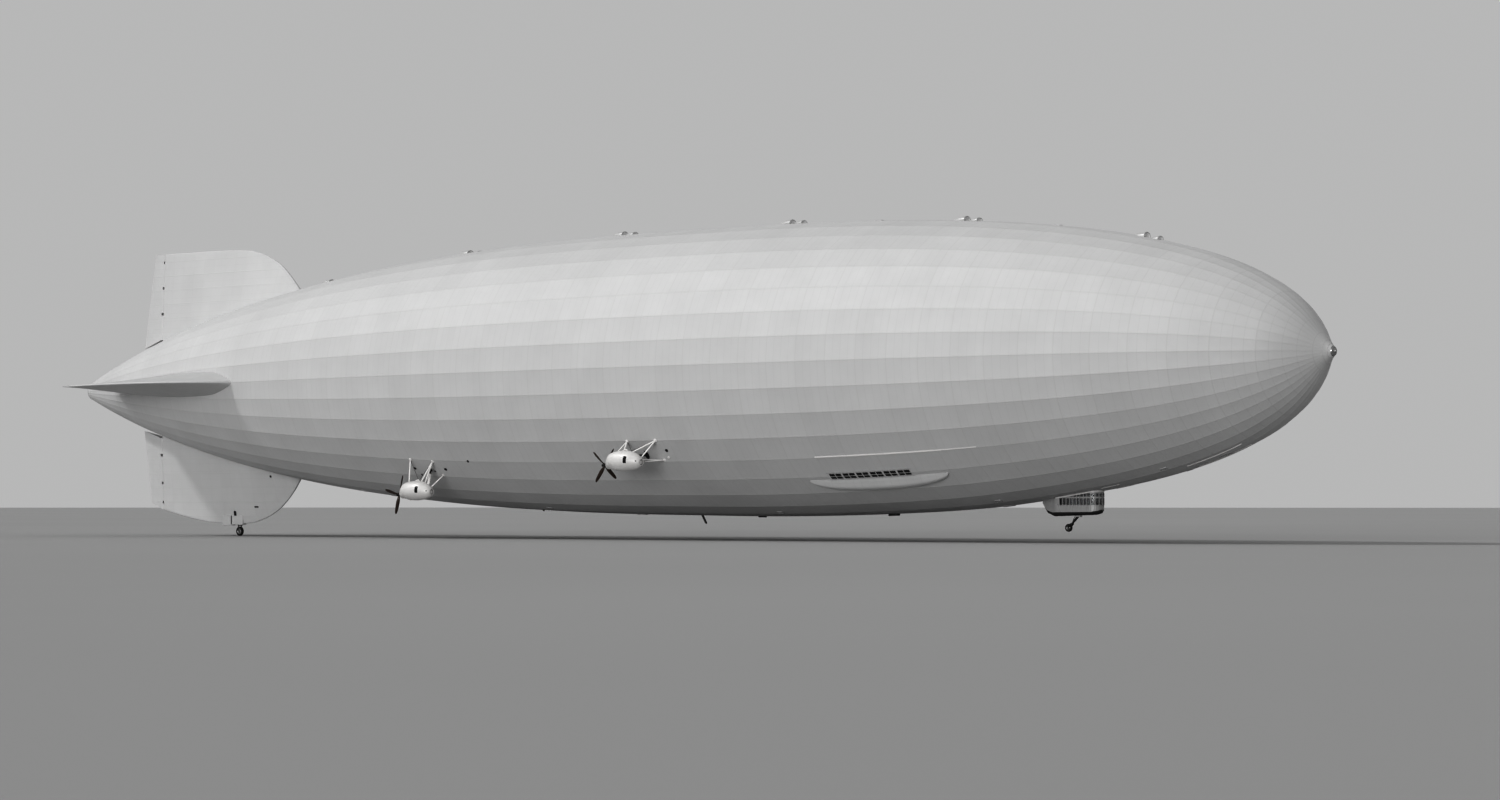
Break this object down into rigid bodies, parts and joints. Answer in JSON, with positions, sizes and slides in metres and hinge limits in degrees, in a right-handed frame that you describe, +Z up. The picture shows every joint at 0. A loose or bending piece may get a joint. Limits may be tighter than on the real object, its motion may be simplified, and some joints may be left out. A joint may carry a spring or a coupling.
{
  "type": "rigid airship, scale model at 1:10",
  "caption": "Rigid airship, a 1:10 scale model: many-sided hull, four fins with rudders and elevators, engine cars with pusher propellers, a control car and landing wheels.",
  "frame": {"origin": "point on the hull's axis at its centre of lift, 133.3 m of the full-size ship ahead of the stern", "axes": "+X along the hull's axis towards the nose, +Y to port, +Z up"},
  "size_m": [24.5303, 4.6084, 4.68],
  "materials": {
    "doped_cover": "satin silver dope on cloth",
    "control_car_panels": "satin silver",
    "window_glass": "clear, dark inside",
    "dark_bumper": "matt dark",
    "mooring_steel": "brushed",
    "engine_car_panels": "satin light paint",
    "engine_iron": "cast",
    "propeller_wood": "dark varnish",
    "strut_paint": "satin light paint",
    "tyre_rubber": "matt"
  },
  "bodies": {
    "hull": {"envelope": "doped_cover", "stern_cap": "doped_cover", "upper_fin": "doped_cover", "lower_fin": "doped_cover", "port_fin": "doped_cover", "starboard_fin": "doped_cover", "port_promenade_bay": "doped_cover", "starboard_promenade_bay": "doped_cover", "control_car": "control_car_panels", "control_car_glass": "window_glass", "control_car_bumper": "dark_bumper", "nose_mooring_cone": "mooring_steel", "fore_port_engine_car": "engine_car_panels", "fore_port_engine_block": "engine_iron", "fore_port_rear_struts": "strut_paint", "fore_port_front_struts": "strut_paint", "fore_port_lower_struts": "strut_paint", "fore_port_access_tube": "strut_paint", "fore_starboard_engine_car": "engine_car_panels", "fore_starboard_engine_block": "engine_iron", "fore_starboard_rear_struts": "strut_paint", "fore_starboard_front_struts": "strut_paint", "fore_starboard_lower_struts": "strut_paint", "fore_starboard_access_tube": "strut_paint", "aft_port_engine_car": "engine_car_panels", "aft_port_engine_block": "engine_iron", "aft_port_rear_struts": "strut_paint", "aft_port_front_struts": "strut_paint", "aft_port_lower_struts": "strut_paint", "aft_port_access_tube": "strut_paint", "aft_starboard_engine_car": "engine_car_panels", "aft_starboard_engine_block": "engine_iron", "aft_starboard_rear_struts": "strut_paint", "aft_starboard_front_struts": "strut_paint", "aft_starboard_lower_struts": "strut_paint", "aft_starboard_access_tube": "strut_paint", "forward_gear_leg": "strut_paint", "tail_gear_leg": "strut_paint", "port_promenade_windows": "window_glass", "starboard_promenade_windows": "window_glass", "vent_hood_1": "strut_paint", "vent_hood_2": "strut_paint", "vent_hood_3": "strut_paint", "vent_hood_4": "strut_paint", "vent_hood_5": "strut_paint", "vent_hood_6": "strut_paint"},
    "upper_rudder": {"upper_rudder": "doped_cover"},
    "lower_rudder": {"lower_rudder": "doped_cover"},
    "port_elevator": {"port_elevator": "doped_cover"},
    "starboard_elevator": {"starboard_elevator": "doped_cover"},
    "forward_wheel": {"forward_tyre": "tyre_rubber", "forward_wheel_hub": "mooring_steel"},
    "tail_wheel": {"tail_tyre": "tyre_rubber", "tail_wheel_hub": "mooring_steel"},
    "fore_port_propeller": {"fore_port_propeller": "propeller_wood"},
    "fore_starboard_propeller": {"fore_starboard_propeller": "propeller_wood"},
    "aft_port_propeller": {"aft_port_propeller": "propeller_wood"},
    "aft_starboard_propeller": {"aft_starboard_propeller": "propeller_wood"}
  },
  "joints": [
    {"name": "upper_rudder_hinge", "type": "hinge", "parent": "hull", "child": "upper_rudder", "pos_m": [-11.44, 0, 1.5], "axis": [0, 0, 1], "range_deg": [-20, 20]},
    {"name": "lower_rudder_hinge", "type": "hinge", "parent": "hull", "child": "lower_rudder", "pos_m": [-11.44, 0, -1.4], "axis": [0, 0, 1], "range_deg": [-20, 20]},
    {"name": "port_elevator_hinge", "type": "hinge", "parent": "hull", "child": "port_elevator", "pos_m": [-11.44, 1.4, 0], "axis": [0, 1, 0], "range_deg": [-20, 20]},
    {"name": "starboard_elevator_hinge", "type": "hinge", "parent": "hull", "child": "starboard_elevator", "pos_m": [-11.44, -1.4, 0], "axis": [0, 1, 0], "range_deg": [-20, 20]},
    {"name": "fore_port_propeller_spin", "type": "hinge", "parent": "hull", "child": "fore_port_propeller", "pos_m": [0.53, 2.04, -1.375], "axis": [1, 0, 0], "continuous": true},
    {"name": "fore_starboard_propeller_spin", "type": "hinge", "parent": "hull", "child": "fore_starboard_propeller", "pos_m": [0.53, -2.04, -1.375], "axis": [1, 0, 0], "continuous": true},
    {"name": "aft_port_propeller_spin", "type": "hinge", "parent": "hull", "child": "aft_port_propeller", "pos_m": [-4.23, 1.48, -1.775], "axis": [1, 0, 0], "continuous": true},
    {"name": "aft_starboard_propeller_spin", "type": "hinge", "parent": "hull", "child": "aft_starboard_propeller", "pos_m": [-4.23, -1.48, -1.775], "axis": [1, 0, 0], "continuous": true},
    {"name": "forward_wheel_roll", "type": "hinge", "parent": "hull", "child": "forward_wheel", "pos_m": [7.065, 0, -2.235], "axis": [0, 1, 0], "continuous": true},
    {"name": "tail_wheel_roll", "type": "hinge", "parent": "hull", "child": "tail_wheel", "pos_m": [-9.54, 0, -2.355], "axis": [0, 1, 0], "continuous": true}
  ],
  "couplings": [
    {"joint": "lower_rudder_hinge", "follows": "upper_rudder_hinge", "ratio": 1},
    {"joint": "starboard_elevator_hinge", "follows": "port_elevator_hinge", "ratio": 1}
  ]
}
